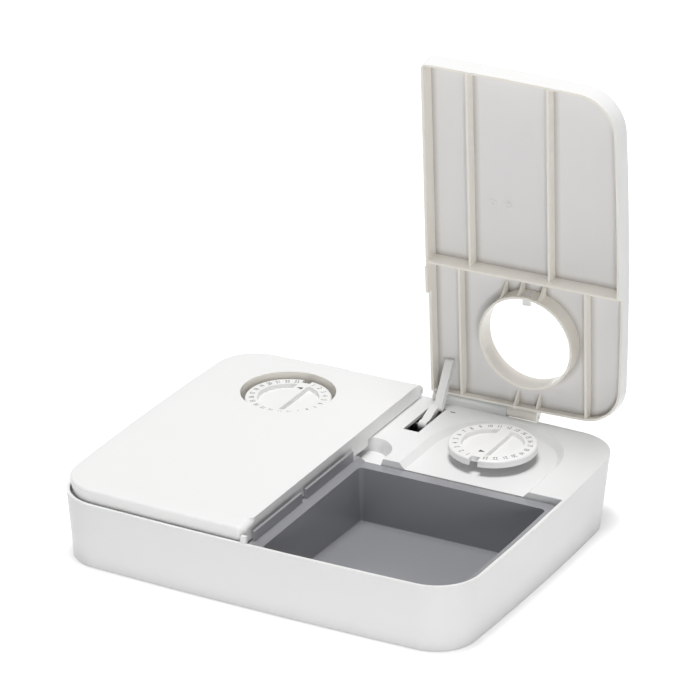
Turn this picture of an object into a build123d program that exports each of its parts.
"""Two-meal pet feeder: a tray with two bowls in a low housing, and two timed lids.

Each lid is hinged at the rear and has a round hole for its timer dial. A catch on
the lid hooks under the dial's rim. When the notch in the dial comes round to the
catch, a sprung arm lifts the lid. The model shows the left lid shut and the right
lid open. X runs to the right, Y to the back and Z up, and the origin is the
middle of the underside.
"""

import os
from math import atan2, cos, degrees, hypot, radians, sin, sqrt, tan

from build123d import *

# Housing outline, with sides that bow outwards a little between round corners
body_width = 306.0
body_depth = 256.0
side_bow = 3.0
corner_radius = 33.0
wall = 2.2
wall_draft = 4.8  # degrees, wider at the top

# The rim, deck, tray and lids lie parallel to a plane that rises to the rear
top_slope = 1.8  # degrees
rim_height = 51.0  # this and the other heights on the slope are taken at the centre
recess_drop = 4.2  # dial recess below the deck
tray_drop = 4.6  # top of the tray's rim below the housing's rim
deck_depth = 102.5  # from the deck's front face to the rear of the housing
deck_thickness = 2.4

# Bottom plate, feet and rest face
plate_height = 3.0
plate_thickness = 2.5
plate_gap = 0.3
foot_radius = 8.0
foot_socket_depth = 1.0
foot_gap = 0.1
foot_chamfer = 0.8
foot_inset = 34.0

# Tray with two bowls
tray_gap = 0.9
flange_width = 6.0
flange_thickness = 2.0
bowl_wall = 1.6
bowl_draft = 2.5
bowl_floor = 7.6
bowl_corner = 3.6
bowl_floor_radius = 1.2
flange_corner = 7.0
rear_flange = 9.8
ledge_width = 2.4
ledge_thickness = 2.2
saddle_half_width = 6.0
saddle_rise = 3.1
divider_thickness = 2.0
divider_rise = 10.2
divider_front_margin = 10.0
divider_rear_margin = 9.5
divider_slot = 6.0
divider_slot_place = 76.0  # from the front of the housing

# Lids
lid_gap = 8.0  # between the two lids
lid_inset = 2.4  # lid outline inside the housing's at the lid's top edge
lid_rise = 9.5  # top edge above the rim
crown_rise = 1.6
crown_width = 12.0
lid_plate = 2.2
lid_wall = 2.0
lid_draft = 10.0
lid_clearance = 0.6  # under the skirts, above tray and deck
rib_thickness = 1.6
seal_rib_gap = 2.9  # middle of the cross rib in front of the deck
step_reach = 20.5  # deep part of the lid's inner wall behind the deck's front
rib_depth = 7.0
front_rib_places = (36.0, 95.0)
rear_rib_places = (27.0, 121.0)
rear_rib_depth = 6.0
front_gussets = (-18.5, -5.5, 10.0)  # from the dial's middle
rear_gussets = (-11.0, 5.5)
gusset_depth = 9.0
gusset_reach = 10.0
gusset_toe = 1.0
lid_corner = 5.0
lid_edge_radius = 2.0

# Dials and their holes
dial_from_side = 74.5
dial_from_rear = 58.2
hole_radius = 33.2
collar_wall = 1.6
dial_radius = 30.2
dial_drop = 2.3  # dial face below the lid's edge plane
dial_thickness = 5.0
dial_face_radius = 21.5
dial_well_depth = 3.0
dial_crest = 1.4
dial_skirt = 2.2
dial_hollow = 1.0
well_draft = 12.0
grip_half_width = 4.2
grip_angle = 90.0  # the grip bar runs towards the notch
notch_width = 6.4
notch_depth = 5.0
recess_radius = 48.0
recess_draft = 45.0
scoop_draft = 20.0
open_front = 20.0  # recess and scoop cuts run this far past the deck's front

# Catches
catch_width = 6.0
catch_reach = 4.4
catch_thickness = 2.0
catch_gap = 1.0  # hook below the dial's underside
catch_play = 0.1  # either side in the collar's window
window_sill = 2.0  # collar left under the window

# Hinges along the rear edge
hinge_overhang = 0.0  # hinge axis behind the housing's rear face
hinge_rise = 7.0  # above the rim's height at the centre
barrel_radius = 3.6
pin_radius = 1.5
running_clearance = 0.05
barrel_gap = 0.5
pin_margin = 0.6  # pin ends short of the lid's outer barrel ends
web_step = 3.0
web_drop = 13.0
web_foot_gap = 2.6
neck_reach = 5.5
neck_rise = 5.6
neck_foot = 0.5
neck_crest = 1.0
neck_lip = 0.2
lid_barrels = ((5.0, 12.0), (62.0, 85.0))
housing_barrel = (12.0, 62.0)
open_angle = 86.0

# Tab between the lids behind the front wall
tab_place = -3.0
tab_width = 4.0
tab_thickness = 1.5
tab_rise = 5.0

# Lift arms
arm_inner = 11.0  # inner side of the arm's lower link
arm_outer = 17.0
arm_joggle = 2.6  # the upper link lies this much further out
arm_thickness = 4.4
arm_hub_radius = 3.6
arm_pivot_run = 33.0  # in front of the hinge axis
arm_pivot_drop = 9.0  # below the hinge axis
arm_elbow = (17.0, 7.4)  # from the pivot, with the lid open
arm_tip = (32.6, 35.6)
arm_ratio = 1.44  # arm's turn over the lid's
arm_pin_radius = 1.25
overlap = 1.0  # between pieces of one body, and past faces that are cut
slot_inner = 8.6
slot_outer = 20.4
slot_before = 21.0  # slot in front of the arm's pivot
slot_behind = 21.0

# Finger scoop between tray and deck
scoop_radius = 18.5
scoop_reach = 27.5  # behind the deck's front
scoop_depth = 9.0

slope = radians(top_slope)
half_width = body_width / 2
half_depth = body_depth / 2
deck_front = half_depth - deck_depth
dial_x = half_width - dial_from_side
dial_y = half_depth - dial_from_rear
hinge_y = half_depth + hinge_overhang
hinge_z = rim_height + hinge_rise
arm_pivot_y = hinge_y - arm_pivot_run
arm_pivot_z = hinge_z - arm_pivot_drop
slot_front = arm_pivot_y - slot_before
slot_rear = arm_pivot_y + slot_behind
scoop_middle = deck_front + scoop_reach - scoop_radius
seal_rib_place = deck_front - seal_rib_gap
step_place = deck_front + step_reach


rim_plane = Plane(origin=(0, 0, rim_height), x_dir=(1, 0, 0), z_dir=(0, -sin(slope), cos(slope)))


def level(height):
    """The rim's plane moved along its normal, given by its height at the centre."""
    return rim_plane.offset(height - rim_height)


def on_slope(x, y, height):
    """A place on the slope with its local axes, for pieces that stand on it."""
    return level(height).location * Location((x, y, 0))


def height_at(height, y):
    """The height above the underside of a point on the slope."""
    return height + y * tan(slope)


def outline(inset):
    """The housing's outline seen from above, drawn inwards by an inset."""
    x = half_width - inset
    y = half_depth - inset
    with BuildSketch(mode=Mode.PRIVATE) as shape:
        with BuildLine():
            ThreePointArc((-x + side_bow, -y + side_bow), (0, -y), (x - side_bow, -y + side_bow))
            ThreePointArc((x - side_bow, -y + side_bow), (x, 0), (x - side_bow, y - side_bow))
            ThreePointArc((x - side_bow, y - side_bow), (0, y), (-x + side_bow, y - side_bow))
            ThreePointArc((-x + side_bow, y - side_bow), (-x, 0), (-x + side_bow, -y + side_bow))
        make_face()
        fillet(shape.vertices(), radius=corner_radius - inset)
    return shape.sketch


def walls(inset):
    """The space inside an inset of the housing's drafted walls, up to the rim."""
    spare = 20
    with BuildPart(mode=Mode.PRIVATE) as block:
        with BuildSketch():
            add(outline(inset + rim_height * tan(radians(wall_draft))))
        with BuildSketch(Plane.XY.offset(rim_height + spare)):
            add(outline(inset - spare * tan(radians(wall_draft))))
        loft()
        split(bisect_by=level(rim_height), keep=Keep.BOTTOM)
    return block.part


def block_below(inset, height, depth, draft):
    """A block under the outline at a height on the slope, narrowing downwards."""
    with BuildPart(mode=Mode.PRIVATE) as block:
        with BuildSketch(level(height - depth)):
            add(outline(inset + depth * tan(radians(draft))))
        with BuildSketch(level(height)):
            add(outline(inset))
        loft()
    return block.part


def edges_at(block, height):
    """The edges of a block that lie in the slope's plane at a height."""
    plane = level(height)
    return [
        edge
        for edge in block.edges()
        if all(abs(plane.to_local_coords(edge @ share).Z) < 0.01 for share in (0, 0.5, 1))
    ]


def save(piece, name):
    piece.label = name
    export_step(piece, f"parts/{name}.step")


os.makedirs("parts", exist_ok=True)
recess_height = rim_height - recess_drop
tray_height = rim_height - tray_drop
deck_under = rim_height - deck_thickness
sides = (("left", -1), ("right", 1))
hinge_axis = Axis((0, hinge_y, hinge_z), (-1, 0, 0))
pin_start = lid_barrels[0][0] + pin_margin
pin_end = lid_barrels[1][1] - pin_margin

# Bottom plate screws, in bosses beside the front wall, the deck's front wall, and side and rear walls
boss_radius = 3.6
boss_height = 12.0
boss_margin = 10.0
front_boss_margin = 16.0
side_boss_place = 78.0  # from the rear
rear_boss_place = 70.0  # from the middle
boss_web = 2.4
boss_cap = 2.0  # solid above the screw's hole
screw_places = [
    (0, -half_depth + front_boss_margin),
    (0, deck_front + deck_thickness + boss_radius),
    (-half_width + boss_margin, half_depth - side_boss_place),
    (half_width - boss_margin, half_depth - side_boss_place),
    (-rear_boss_place, half_depth - boss_margin),
    (rear_boss_place, half_depth - boss_margin),
]
screw_radius = 1.3
screw_gap = 0.2
screw_head_radius = 2.6
screw_head_height = 1.2
screw_length = 10.0
screw_end_gap = 1.0
drive_radius = 1.2
drive_depth = 0.7
plate_top = plate_height + plate_thickness

# Timer cases hang from bosses under the dial recess
case_size = 52.0
case_height = 24.0
case_corner = 8.0
case_drop = 6.0
case_boss_radius = 3.4
ear_width = 12.0
ear_thickness = 2.0
ear_corner = 4.0
ear_gap = 0.4
ear_margin = 4.5
ear_hole = case_size / 2 + screw_head_radius + ear_gap
ear_reach = ear_hole + ear_margin
spindle_radius = 2.5
spindle_seat = 5.0
spindle_end_gap = 0.3
floor_hole_radius = 4.5
hub_radius = 7.0
case_top = recess_height - deck_thickness - case_drop

# Battery bay in the bottom plate, and its sliding cover
cell_radius = 7.1
cell_length = 50.0
cell_lift = 0.6  # above the bottom plate's underside
terminal_radius = 2.7
terminal_height = 0.8
bay_from_rear = 54.0
bay_y = half_depth - bay_from_rear
bay_gap = 0.8
bay_wall = 1.6
contact_thickness = 0.6
contact_width = 9.0
contact_height = 11.0
cover_length = 66.0
cover_width = 25.0
cover_thickness = 1.7
cover_flange = 2.0
cover_play = 0.2
cover_ridge = (22.0, 1.0, 0.6)
ridge_pitch = 2.4
ridge_margin = 5.0
rail_lip = 0.8
rail_wall = 1.6
cover_travel = 25.0
wire_radius = 0.9
wire_offset = 1.3
wire_sag = 4.0
wire_rise = 12.0
wire_dip = 0.6  # slope at the battery's end
wire_lift = 0.8  # slope at the timer's end
lead_gap = 0.7

bracket_thickness = 2.0
bracket_length = 12.0
bracket_drop = 4.0  # below the arm's pivot
spring_space = 5.0
spring_margin = 0.8
spring_wire = 0.45
coil_radius = 1.95
coil_pitch = 1.15
coil_turns = 3
bracket_faces = (slot_inner, slot_outer + spring_space)

# Housing: walls, deck with dial recesses, arm slots and finger scoop, and rear hinge barrels
with BuildPart() as housing:
    add(walls(0))
    add(walls(wall), mode=Mode.SUBTRACT)

    # Ledge under the tray's flange
    ledge_height = tray_height - flange_thickness
    with BuildSketch(level(ledge_height)):
        add(outline(wall / 2))
        add(outline(wall + ledge_width), mode=Mode.SUBTRACT)
    extrude(amount=-ledge_thickness)

    # Deck over the rear half, its front wall, and pans round the dial recesses and scoop
    with BuildSketch(level(rim_height)):
        add(outline(wall / 2))
        with Locations((0, deck_front + half_depth)):
            Rectangle(body_width, 2 * half_depth, mode=Mode.INTERSECT)
    extrude(amount=-deck_thickness)
    with BuildPart(mode=Mode.PRIVATE) as deck_wall:
        add(walls(wall / 2))
        with Locations(on_slope(0, deck_front + deck_thickness / 2, rim_height)):
            Box(body_width, deck_thickness, 2 * (rim_height - plate_top - overlap), mode=Mode.INTERSECT)
    add(deck_wall.part)
    for side in (-1, 1):
        with BuildSketch(level(rim_height)):
            with Locations((side * dial_x, dial_y)):
                Circle(recess_radius + deck_thickness)
            with Locations((side * dial_x, (dial_y + deck_front) / 2)):
                Rectangle(2 * (recess_radius + deck_thickness), dial_y - deck_front)
            with Locations((0, deck_front + half_depth)):
                Rectangle(body_width, 2 * half_depth, mode=Mode.INTERSECT)
        extrude(amount=-(recess_drop + deck_thickness))
    with BuildSketch(level(rim_height)):
        with Locations((0, scoop_middle)):
            Circle(scoop_radius + deck_thickness)
        with Locations((0, (deck_front + scoop_middle) / 2)):
            Rectangle(2 * (scoop_radius + deck_thickness), scoop_middle - deck_front)
        with Locations((0, deck_front + half_depth)):
            Rectangle(body_width, 2 * half_depth, mode=Mode.INTERSECT)
    extrude(amount=-(scoop_depth + deck_thickness))

    # Dial recesses and scoop, open to the front, with sloped walls
    for side in (-1, 1):
        with BuildSketch(level(rim_height)):
            with Locations((side * dial_x, dial_y)):
                Circle(recess_radius)
            with Locations((side * dial_x, (dial_y + deck_front - open_front) / 2)):
                Rectangle(2 * recess_radius, dial_y - deck_front + open_front)
        extrude(amount=-recess_drop, taper=recess_draft, mode=Mode.SUBTRACT)
        with Locations(on_slope(side * dial_x, dial_y, recess_height)):
            Cylinder(floor_hole_radius, 4 * deck_thickness, mode=Mode.SUBTRACT)
    with BuildSketch(level(rim_height)):
        with Locations((0, scoop_middle)):
            Circle(scoop_radius)
        with Locations((0, (deck_front - open_front + scoop_middle) / 2)):
            Rectangle(2 * scoop_radius, scoop_middle - deck_front + open_front)
    extrude(amount=-scoop_depth, taper=scoop_draft, mode=Mode.SUBTRACT)

    # Arm slots, with brackets below for the arms' pins
    for side in (-1, 1):
        with Locations((side * (slot_inner + slot_outer) / 2, (slot_front + slot_rear) / 2, rim_height)):
            Box(slot_outer - slot_inner, slot_rear - slot_front, 4 * recess_drop, mode=Mode.SUBTRACT)
        for face, outward in zip(bracket_faces, (-1, 1)):
            bracket_x = side * (face + outward * bracket_thickness / 2)
            bracket_top = height_at(deck_under, arm_pivot_y) + overlap
            bracket_foot = arm_pivot_z - bracket_drop
            with Locations((bracket_x, arm_pivot_y, (bracket_top + bracket_foot) / 2)):
                Box(bracket_thickness, bracket_length, bracket_top - bracket_foot)
        bracket_middle = side * (bracket_faces[0] + bracket_faces[1]) / 2
        bracket_span = bracket_faces[1] - bracket_faces[0] + 2 * bracket_thickness
        with Locations(Location((bracket_middle, arm_pivot_y, arm_pivot_z), (0, 90, 0))):
            Cylinder(arm_pin_radius, bracket_span + 2 * overlap, mode=Mode.SUBTRACT)

    # Hinge barrels on the rear edge, blended into the wall, with room for the lids' barrels
    for side in (-1, 1):
        with BuildSketch(Plane.YZ.offset(side * housing_barrel[0])):
            with Locations((hinge_y, hinge_z)):
                Circle(barrel_radius)
            with BuildLine():
                Polyline(
                    (hinge_y - barrel_radius, hinge_z),
                    (hinge_y + barrel_radius, hinge_z),
                    (hinge_y + barrel_radius, hinge_z - web_step),
                    (hinge_y - web_foot_gap, hinge_z - web_drop),
                    (hinge_y - barrel_radius, hinge_z - web_drop),
                    close=True,
                )
            make_face()
        extrude(amount=side * (housing_barrel[1] - housing_barrel[0]))
        for start, end in lid_barrels:
            with Locations(Location((side * (start + end) / 2, hinge_y, hinge_z), (0, 90, 0))):
                Cylinder(barrel_radius + barrel_gap, end - start, mode=Mode.SUBTRACT)
        with Locations(Location((side * (pin_start + pin_end) / 2, hinge_y, hinge_z), (0, 90, 0))):
            Cylinder(pin_radius, pin_end - pin_start, mode=Mode.SUBTRACT)

    # Tab between the lids behind the front wall
    tab_foot = height_at(tray_height + saddle_rise + lid_clearance, -half_depth)
    with Locations((tab_place, -half_depth + wall / 2, tab_foot)):
        Box(
            tab_width, tab_thickness + wall / 2, height_at(rim_height, -half_depth) + tab_rise - tab_foot,
            align=(Align.CENTER, Align.MIN, Align.MIN),
        )

    # Screw bosses for the bottom plate and the timer cases
    for x, y in screw_places:
        with Locations((x, y, plate_top)):
            Cylinder(boss_radius, boss_height, align=(Align.CENTER, Align.CENTER, Align.MIN))
    wall_foot = (rim_height - plate_top) * tan(radians(wall_draft)) + wall / 2
    web_end = front_boss_margin - boss_radius + overlap
    with Locations((0, -half_depth + web_end, plate_top)):
        Box(boss_web, web_end - wall_foot, boss_height, align=(Align.CENTER, Align.MAX, Align.MIN))
    for side in (-1, 1):
        for offset in (-ear_hole, ear_hole):
            with Locations(on_slope(side * dial_x + offset, dial_y, case_top)):
                Cylinder(
                    case_boss_radius, case_drop + deck_thickness / 2,
                    align=(Align.CENTER, Align.CENTER, Align.MIN),
                )
                Cylinder(
                    screw_radius, case_drop,
                    align=(Align.CENTER, Align.CENTER, Align.MIN), mode=Mode.SUBTRACT,
                )
    for x, y in screw_places:
        with Locations((x, y, plate_top)):
            Cylinder(
                screw_radius, boss_height - boss_cap,
                align=(Align.CENTER, Align.CENTER, Align.MIN), mode=Mode.SUBTRACT,
            )
    split(bisect_by=Plane.XY, keep=Keep.TOP)
save(housing.part, "housing")

# Bottom plate: fits inside the walls, with foot sockets, battery bay and rails for its cover
foot_places = [(x * (half_width - foot_inset), y * (half_depth - foot_inset)) for x in (-1, 1) for y in (-1, 1)]
bay_length = cell_length + 2 * bay_gap + 2 * contact_thickness
bay_width = 2 * (cell_radius + bay_gap)
cell_height = plate_height + cell_lift + cell_radius
bay_top = cell_height + cell_radius + bay_gap
cover_top = plate_height - cover_play
with BuildPart() as bottom_plate:
    add(walls(wall + plate_gap))
    with Locations((0, 0, plate_height + plate_thickness / 2)):
        Box(body_width, body_depth, plate_thickness, mode=Mode.INTERSECT)
    with Locations((0, bay_y, plate_height)):
        Box(
            bay_length + 2 * bay_wall, bay_width + 2 * bay_wall, bay_top + bay_wall - plate_height,
            align=(Align.CENTER, Align.CENTER, Align.MIN),
        )
        Box(
            bay_length, bay_width, bay_top - plate_height,
            align=(Align.CENTER, Align.CENTER, Align.MIN), mode=Mode.SUBTRACT,
        )
    rail_depth = cover_thickness + 2 * cover_play + rail_lip
    for side in (-1, 1):
        rail_x = side * (cover_length / 2 + cover_play + rail_wall / 2)
        with Locations((rail_x, bay_y, plate_height)):
            Box(rail_wall, cover_width, rail_depth, align=(Align.CENTER, Align.CENTER, Align.MAX))
        with Locations((rail_x - side * cover_flange / 2, bay_y, plate_height - rail_depth)):
            Box(rail_wall + cover_flange, cover_width, rail_lip, align=(Align.CENTER, Align.CENTER, Align.MIN))
    for x, y in foot_places:
        with Locations((x, y, plate_height)):
            Cylinder(
                foot_radius + foot_gap, foot_socket_depth,
                align=(Align.CENTER, Align.CENTER, Align.MIN), mode=Mode.SUBTRACT,
            )
    for x, y in screw_places:
        with Locations((x, y, plate_height)):
            Cylinder(
                screw_radius + screw_gap, plate_thickness,
                align=(Align.CENTER, Align.CENTER, Align.MIN), mode=Mode.SUBTRACT,
            )
            Cylinder(
                screw_head_radius + screw_gap, screw_head_height,
                align=(Align.CENTER, Align.CENTER, Align.MIN), mode=Mode.SUBTRACT,
            )
save(bottom_plate.part, "bottom_plate")

with BuildPart() as rubber_feet:
    for x, y in foot_places:
        with Locations((x, y, 0)):
            Cylinder(foot_radius, plate_height + foot_socket_depth, align=(Align.CENTER, Align.CENTER, Align.MIN))
    chamfer(rubber_feet.edges().group_by(Axis.Z)[0], length=foot_chamfer)
save(rubber_feet.part, "rubber_feet")


def screw(length):
    """A pan-head screw standing head down on the origin."""
    with BuildPart(mode=Mode.PRIVATE) as piece:
        Cylinder(screw_head_radius, screw_head_height, align=(Align.CENTER, Align.CENTER, Align.MIN))
        with Locations((0, 0, screw_head_height)):
            Cylinder(screw_radius, length, align=(Align.CENTER, Align.CENTER, Align.MIN))
        Cylinder(drive_radius, drive_depth, align=(Align.CENTER, Align.CENTER, Align.MIN), mode=Mode.SUBTRACT)
    return piece.part


with BuildPart() as bottom_screws:
    with Locations([(x, y, plate_height) for x, y in screw_places]):
        add(screw(screw_length))
save(bottom_screws.part, "bottom_screws")

# Battery, its contacts and the cover that slides on the rails
with BuildPart() as battery_cell:
    with Locations(Location((0, bay_y, cell_height), (0, 90, 0))):
        Cylinder(cell_radius, cell_length)
        with Locations((0, 0, cell_length / 2)):
            Cylinder(terminal_radius, terminal_height, align=(Align.CENTER, Align.CENTER, Align.MIN))
save(battery_cell.part, "battery_cell")

with BuildPart() as battery_contacts:
    for side in (-1, 1):
        with Locations((side * (bay_length - contact_thickness) / 2, bay_y, cell_height)):
            Box(contact_thickness, contact_width, contact_height)
save(battery_contacts.part, "battery_contacts")

with BuildPart() as battery_cover:
    with Locations((0, bay_y, cover_top)):
        Box(cover_length, cover_width, cover_thickness, align=(Align.CENTER, Align.CENTER, Align.MAX))
    with Locations((0, bay_y + cover_width / 2 - ridge_margin, cover_top - cover_thickness)):
        with GridLocations(0, ridge_pitch, 1, 3):
            Box(*cover_ridge, align=(Align.CENTER, Align.CENTER, Align.MIN), mode=Mode.SUBTRACT)
save(battery_cover.part, "battery_cover")


def bowl(side, inset, floor, corner, floor_radius):
    """One bowl as a solid: drafted walls down to a level floor."""
    with BuildPart(mode=Mode.PRIVATE) as block:
        with BuildSketch(level(tray_height)) as plan:
            add(outline(wall + tray_gap + flange_width + inset))
            inner = saddle_half_width + inset
            back = deck_front - rear_flange - inset
            with Locations((side * (inner + half_width), back - half_depth)):
                Rectangle(2 * half_width, 2 * half_depth, mode=Mode.INTERSECT)
            centre_corners = plan.vertices().sort_by(Axis((0, 0, 0), (-side, 0, 0)))[-2:]
            rear_corners = plan.vertices().group_by(Axis.Y)[-1]
            fillet(set(list(centre_corners) + list(rear_corners)), radius=corner)
        extrude(amount=-rim_height, taper=bowl_draft)
        split(bisect_by=Plane.XY.offset(floor), keep=Keep.TOP)
        fillet(block.faces().sort_by(Axis.Z)[0].edges(), radius=floor_radius)
    return block.part


# Tray: two bowls under one flange, with a raised saddle and a notched divider between them
with BuildPart() as twin_bowl_tray:
    with BuildSketch(level(tray_height)) as flange:
        add(outline(wall + tray_gap))
        with Locations((0, deck_front - tray_gap - half_depth)):
            Rectangle(body_width, 2 * half_depth, mode=Mode.INTERSECT)
        fillet(flange.vertices().group_by(Axis.Y)[-1], radius=flange_corner)
    extrude(amount=-flange_thickness)
    for side in (-1, 1):
        add(bowl(side, -bowl_wall, bowl_floor - bowl_wall, bowl_corner + bowl_wall, bowl_floor_radius + bowl_wall))
    saddle_front = -half_depth + wall + tray_gap
    saddle_plane = Plane(
        origin=(0, saddle_front, height_at(tray_height, saddle_front)),
        x_dir=(-1, 0, 0),
        z_dir=(0, cos(slope), sin(slope)),
    )
    with BuildSketch(saddle_plane):
        with BuildLine():
            Polyline(
                (-saddle_half_width, -flange_thickness / 2),
                (-saddle_half_width, 0),
                (-divider_thickness / 2, saddle_rise),
                (divider_thickness / 2, saddle_rise),
                (saddle_half_width, 0),
                (saddle_half_width, -flange_thickness / 2),
                close=True,
            )
        make_face()
    extrude(amount=deck_front - tray_gap - saddle_front)
    with BuildSketch(level(tray_height)):
        divider_front = -half_depth + divider_front_margin
        divider_rear = deck_front - divider_rear_margin
        with Locations((0, (divider_front + divider_rear) / 2)):
            Rectangle(divider_thickness, divider_rear - divider_front)
    extrude(amount=divider_rise)
    for side in (-1, 1):
        add(bowl(side, 0, bowl_floor, bowl_corner, bowl_floor_radius), mode=Mode.SUBTRACT)
    with Locations(on_slope(0, divider_slot_place - half_depth, tray_height + saddle_rise)):
        Box(
            divider_thickness * 2, divider_slot, divider_rise * 2,
            align=(Align.CENTER, Align.CENTER, Align.MIN), mode=Mode.SUBTRACT,
        )
save(twin_bowl_tray.part, "twin_bowl_tray")


# Timers: a case under each dial recess, hung by its ears, with the dial's spindle on top
dial_height = rim_height + lid_rise - dial_drop
dial_under = dial_height - dial_thickness
spindle_foot = case_top - spindle_seat + spindle_end_gap
for name, side in sides:
    with BuildPart() as timer_case:
        with BuildSketch(level(case_top)):
            with Locations((side * dial_x, dial_y)):
                RectangleRounded(case_size, case_size, case_corner)
        extrude(amount=-case_height)
        with BuildSketch(level(case_top)):
            with Locations((side * dial_x, dial_y)):
                RectangleRounded(2 * ear_reach, ear_width, ear_corner)
        extrude(amount=-ear_thickness)
        with Locations(on_slope(side * dial_x, dial_y, case_top)):
            Cylinder(
                spindle_radius + running_clearance, spindle_seat,
                align=(Align.CENTER, Align.CENTER, Align.MAX), mode=Mode.SUBTRACT,
            )
            with Locations((-ear_hole, 0, 0), (ear_hole, 0, 0)):
                Cylinder(
                    screw_radius + screw_gap, ear_thickness * 2,
                    align=(Align.CENTER, Align.CENTER, Align.MAX), mode=Mode.SUBTRACT,
                )
    save(timer_case.part, f"{name}_timer_case")

    with BuildPart() as dial_spindle:
        with Locations(on_slope(side * dial_x, dial_y, spindle_foot)):
            Cylinder(spindle_radius, dial_under - spindle_foot, align=(Align.CENTER, Align.CENTER, Align.MIN))
    save(dial_spindle.part, f"{name}_dial_spindle")

    # Dial: number ring, two finger wells beside a grip bar, and a notch in the rim
    with BuildPart() as dial:
        with Locations(on_slope(side * dial_x, dial_y, dial_under)):
            Cylinder(dial_radius, dial_thickness, align=(Align.CENTER, Align.CENTER, Align.MIN))
        fillet(dial.edges().filter_by(GeomType.CIRCLE).sort_by(Axis.Z)[-1], radius=dial_crest)
        with BuildSketch(level(dial_height)):
            with Locations(Location((side * dial_x, dial_y, 0), (0, 0, grip_angle))):
                Circle(dial_face_radius)
                Rectangle(2 * dial_radius, 2 * grip_half_width, mode=Mode.SUBTRACT)
        extrude(amount=-dial_well_depth, taper=well_draft, mode=Mode.SUBTRACT)
        with Locations(on_slope(side * dial_x, dial_y, dial_under)):
            Cylinder(
                dial_radius - dial_skirt, dial_hollow,
                align=(Align.CENTER, Align.CENTER, Align.MIN), mode=Mode.SUBTRACT,
            )
            Cylinder(hub_radius, dial_hollow, align=(Align.CENTER, Align.CENTER, Align.MIN))
        notch_place = dial_radius - (notch_depth - overlap) / 2
        with Locations(on_slope(side * dial_x, dial_y - side * notch_place, dial_under)):
            Box(notch_width, notch_depth + overlap, dial_thickness * 3, mode=Mode.SUBTRACT)
    save(dial.part, f"{name}_dial")

with BuildPart() as timer_screws:
    for name, side in sides:
        for offset in (-ear_hole, ear_hole):
            head_height = case_top - ear_thickness - screw_head_height
            with Locations(on_slope(side * dial_x + offset, dial_y, head_height)):
                add(screw(ear_thickness + case_drop - screw_end_gap))
save(timer_screws.part, "timer_screws")

with BuildPart() as timer_leads:
    for name, side in sides:
        lead_start = side * (bay_length / 2 + bay_wall + lead_gap)
        lead_end = side * (dial_x - case_size / 2 - lead_gap)
        for offset in (-wire_offset, wire_offset):
            with BuildLine() as route:
                Spline(
                    (lead_start, bay_y + offset, cell_height),
                    ((lead_start + lead_end) / 2, bay_y + offset, cell_height - wire_sag),
                    (lead_end, bay_y + offset, cell_height + wire_rise),
                    tangents=((side, 0, -wire_dip), (side, 0, wire_lift)),
                )
            with BuildSketch(Plane(origin=route.line @ 0, z_dir=route.line % 0)):
                Circle(wire_radius)
            sweep(path=route.line)
save(timer_leads.part, "timer_leads")

# Lid, first as the right-hand lid lies when shut
lid_edge = rim_height + lid_rise
skirt_depth = lid_rise + tray_drop - lid_clearance
deck_skirt_depth = lid_rise - lid_clearance
collar_depth = lid_rise + recess_drop - lid_clearance
lid_wall_face = lid_gap / 2 + lid_wall
seal_rear = seal_rib_place + rib_thickness / 2

with BuildPart() as lid_cavity:
    add(block_below(lid_inset + lid_wall, lid_edge - lid_plate, 2 * skirt_depth, lid_draft))
    with BuildSketch(level(lid_edge - lid_plate)):
        add(outline(lid_inset + lid_wall))
    with BuildSketch(level(lid_edge - lid_plate + crown_rise)):
        add(outline(lid_inset + lid_wall + crown_width))
    loft()
    split(bisect_by=Plane.YZ.offset(lid_wall_face), keep=Keep.TOP)
    with Locations(on_slope(half_width / 2, seal_rib_place, lid_edge)):
        Box(2 * half_width, rib_thickness, 4 * lid_rise, mode=Mode.SUBTRACT)
    for x in front_rib_places:
        with Locations(on_slope(x, seal_rib_place, lid_edge - lid_plate - rib_depth)):
            Box(
                rib_thickness, body_depth, 2 * lid_rise,
                align=(Align.CENTER, Align.MAX, Align.MIN), mode=Mode.SUBTRACT,
            )
    for x in rear_rib_places:
        with Locations(on_slope(x, seal_rib_place, lid_edge - lid_plate - rear_rib_depth)):
            Box(
                rib_thickness, body_depth, 2 * lid_rise,
                align=(Align.CENTER, Align.MIN, Align.MIN), mode=Mode.SUBTRACT,
            )
    with Locations(on_slope(dial_x, dial_y, lid_edge)):
        Cylinder(hole_radius + collar_wall, 4 * lid_rise, mode=Mode.SUBTRACT)

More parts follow.
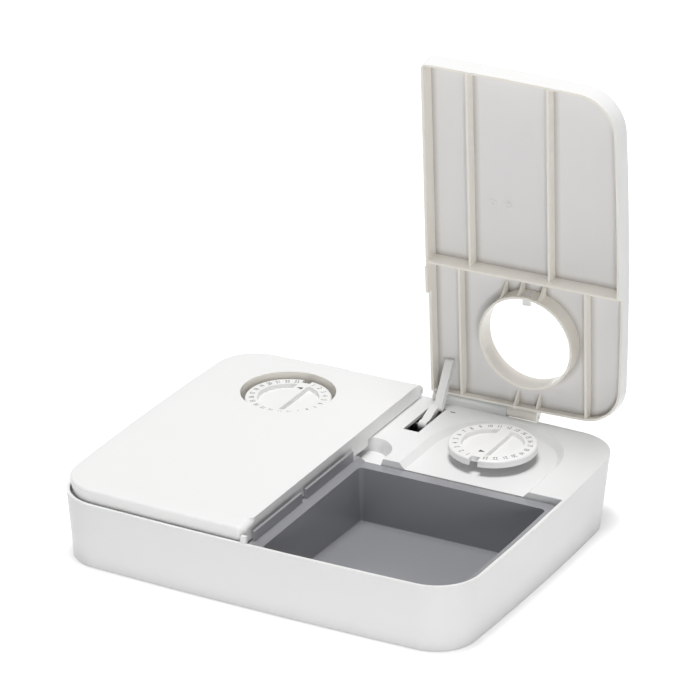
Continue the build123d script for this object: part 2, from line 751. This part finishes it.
with BuildPart() as shut_lid:
    add(block_below(lid_inset, lid_edge, skirt_depth, lid_draft))
    with Locations(on_slope(0, seal_rear, lid_edge - deck_skirt_depth)):
        Box(
            2 * body_width, body_depth, skirt_depth,
            align=(Align.CENTER, Align.MIN, Align.MAX), mode=Mode.SUBTRACT,
        )
    with BuildSketch(level(lid_edge)):
        add(outline(lid_inset))
    with BuildSketch(level(lid_edge + crown_rise)):
        add(outline(lid_inset + crown_width))
    loft()
    fillet(edges_at(shut_lid, lid_edge), radius=lid_edge_radius)
    with BuildSketch(level(lid_edge)):
        with Locations((lid_gap / 2 + lid_wall / 2, (seal_rib_place + step_place) / 2)):
            Rectangle(lid_wall, step_place - seal_rib_place)
    extrude(amount=-skirt_depth)
    with Locations(on_slope(dial_x, dial_y, lid_edge)):
        Cylinder(
            hole_radius + collar_wall, collar_depth, align=(Align.CENTER, Align.CENTER, Align.MAX),
        )
    split(bisect_by=Plane.YZ.offset(lid_gap / 2), keep=Keep.TOP)
    corner_edges = shut_lid.edges().filter_by_position(Axis.X, lid_gap / 2 - 0.01, lid_gap / 2 + 0.01)
    fillet(corner_edges.sort_by(Axis.Y)[0], radius=lid_corner)
    saddle_edge = saddle_rise * (saddle_half_width - lid_gap / 2) / (saddle_half_width - divider_thickness / 2)
    with Locations(on_slope(lid_gap / 2, deck_front, tray_height + lid_clearance + saddle_edge)):
        Box(
            2 * lid_wall, 4 * half_depth, 2 * skirt_depth,
            align=(Align.CENTER, Align.MAX, Align.MAX), mode=Mode.SUBTRACT,
        )
    add(lid_cavity.part, mode=Mode.SUBTRACT)
    with Locations(on_slope(dial_x, dial_y, lid_edge)):
        Cylinder(hole_radius, 6 * lid_rise, mode=Mode.SUBTRACT)

    # Room for the housing's barrel, and the lid's own barrels on either side of it
    room_start = housing_barrel[0] - barrel_gap
    room_end = housing_barrel[1] + barrel_gap
    with Locations(Location(((room_start + room_end) / 2, hinge_y, hinge_z), (0, 90, 0))):
        Cylinder(barrel_radius + barrel_gap, room_end - room_start, mode=Mode.SUBTRACT)
    with Locations(((room_start + room_end) / 2, hinge_y - barrel_radius - barrel_gap, hinge_z)):
        Box(
            room_end - room_start, 4 * barrel_radius, 4 * barrel_radius,
            align=(Align.CENTER, Align.MIN, Align.MAX), mode=Mode.SUBTRACT,
        )
    for start, end in lid_barrels:
        with BuildSketch(Plane.YZ.offset(start + barrel_gap / 2)):
            with Locations((hinge_y, hinge_z)):
                Circle(barrel_radius)
            with BuildLine():
                Polyline(
                    (hinge_y - neck_reach, hinge_z - neck_foot),
                    (hinge_y, hinge_z - neck_foot),
                    (hinge_y + neck_crest, hinge_z + barrel_radius - neck_lip),
                    (hinge_y - barrel_radius / 2, hinge_z + neck_rise),
                    (hinge_y - neck_reach, hinge_z + neck_rise),
                    close=True,
                )
            make_face()
        extrude(amount=end - start - barrel_gap)
    with Locations(Location(((pin_start + pin_end) / 2, hinge_y, hinge_z), (0, 90, 0))):
        Cylinder(pin_radius + running_clearance, 2 * (pin_end - pin_start), mode=Mode.SUBTRACT)

    # Gussets beside the collar
    for offset in front_gussets:
        with BuildSketch(Plane.YZ.offset(dial_x + offset - rib_thickness / 2)):
            collar_front = dial_y - sqrt((hole_radius + collar_wall / 2) ** 2 - offset**2)
            with BuildLine():
                Polyline(
                    (collar_front, height_at(lid_edge - lid_plate / 2, collar_front)),
                    (collar_front, height_at(lid_edge - lid_plate - gusset_depth, collar_front)),
                    (collar_front - gusset_toe, height_at(lid_edge - lid_plate - gusset_depth, collar_front)),
                    (collar_front - gusset_reach, height_at(lid_edge - lid_plate / 2, collar_front)),
                    close=True,
                )
            make_face()
        extrude(amount=rib_thickness)
    for offset in rear_gussets:
        with BuildSketch(Plane.YZ.offset(dial_x + offset - rib_thickness / 2)):
            wall_front = half_depth - lid_inset - lid_wall - gusset_toe
            with BuildLine():
                Polyline(
                    (wall_front + 2 * gusset_toe, height_at(lid_edge - lid_plate / 2, wall_front)),
                    (wall_front + 2 * gusset_toe, height_at(lid_edge - lid_plate - rear_rib_depth, wall_front)),
                    (wall_front - gusset_toe, height_at(lid_edge - lid_plate - rear_rib_depth, wall_front)),
                    (wall_front - gusset_reach, height_at(lid_edge - lid_plate / 2, wall_front)),
                    close=True,
                )
            make_face()
        extrude(amount=rib_thickness)

    # Window in the collar for the catch
    window_height = collar_depth - lid_plate - window_sill
    with Locations(on_slope(dial_x, dial_y - hole_radius - collar_wall / 2, lid_edge - lid_plate)):
        Box(
            catch_width + 2 * catch_play, collar_wall + 2 * overlap, window_height,
            align=(Align.CENTER, Align.CENTER, Align.MAX), mode=Mode.SUBTRACT,
        )

# Catch: sits in the collar's window and hooks under the dial's rim
catch_under = dial_under - catch_gap - catch_thickness
with BuildPart() as shut_catch:
    with Locations(on_slope(dial_x, dial_y - hole_radius, catch_under)):
        Box(
            catch_width, collar_wall, lid_edge - lid_plate - catch_under,
            align=(Align.CENTER, Align.MAX, Align.MIN),
        )
        Box(
            catch_width, catch_reach + collar_wall, catch_thickness,
            align=(Align.CENTER, Align.MIN, Align.MIN),
        )

with BuildPart() as left_lid:
    add(mirror(shut_lid.part, about=Plane.YZ))
save(left_lid.part, "left_lid")

with BuildPart() as right_lid:
    add(shut_lid.part.rotate(hinge_axis, open_angle))
save(right_lid.part, "right_lid")

with BuildPart() as left_lid_catch:
    add(mirror(shut_catch.part, about=Plane.YZ))
save(left_lid_catch.part, "left_lid_catch")

with BuildPart() as right_lid_catch:
    add(shut_catch.part.rotate(hinge_axis, open_angle))
save(right_lid_catch.part, "right_lid_catch")

# Hinge pins, arm pins and the lift arms with their springs
arm_turn = arm_ratio * open_angle
arm_axis = Axis((0, arm_pivot_y, arm_pivot_z), (1, 0, 0))


def link(start, end):
    """A bar with round ends between two points of the current sketch."""
    run = (end[0] - start[0], end[1] - start[1])
    middle = ((start[0] + end[0]) / 2, (start[1] + end[1]) / 2)
    with Locations(Location((*middle, 0), (0, 0, degrees(atan2(run[1], run[0]))))):
        SlotCenterToCenter(hypot(*run), arm_thickness)


for name, side in sides:
    with BuildPart() as hinge_pin:
        with Locations(Location((side * (pin_start + pin_end) / 2, hinge_y, hinge_z), (0, 90, 0))):
            Cylinder(pin_radius, pin_end - pin_start)
    save(hinge_pin.part, f"{name}_hinge_pin")

    with BuildPart() as arm_pin:
        pin_middle = side * (bracket_faces[0] + bracket_faces[1]) / 2
        with Locations(Location((pin_middle, arm_pivot_y, arm_pivot_z), (0, 90, 0))):
            Cylinder(arm_pin_radius, bracket_span)
    save(arm_pin.part, f"{name}_arm_pin")

    with BuildPart() as lift_arm:
        pivot = (arm_pivot_y, arm_pivot_z)
        elbow = (arm_pivot_y + arm_elbow[0], arm_pivot_z + arm_elbow[1])
        with BuildSketch(Plane.YZ.offset(side * arm_inner)):
            with Locations(pivot):
                Circle(arm_hub_radius)
            link(pivot, elbow)
            with Locations(pivot):
                Circle(arm_pin_radius + running_clearance, mode=Mode.SUBTRACT)
        extrude(amount=side * (arm_outer - arm_inner))
        with BuildSketch(Plane.YZ.offset(side * (arm_inner + arm_joggle))):
            link(elbow, (arm_pivot_y + arm_tip[0], arm_pivot_z + arm_tip[1]))
        extrude(amount=side * (arm_outer - arm_inner))
    arm = lift_arm.part if name == "right" else lift_arm.part.rotate(arm_axis, arm_turn)
    save(arm, f"{name}_lift_arm")

    coil_start = side * (slot_outer + spring_margin)
    with BuildPart() as arm_spring:
        with BuildLine() as coil:
            Helix(
                pitch=coil_pitch, height=coil_pitch * coil_turns, radius=coil_radius,
                center=(coil_start, arm_pivot_y, arm_pivot_z), direction=(side, 0, 0),
            )
        with BuildSketch(Plane(origin=coil.line @ 0, z_dir=coil.line % 0)):
            Circle(spring_wire)
        sweep(path=coil.line, is_frenet=True)
    save(arm_spring.part, f"{name}_arm_spring")
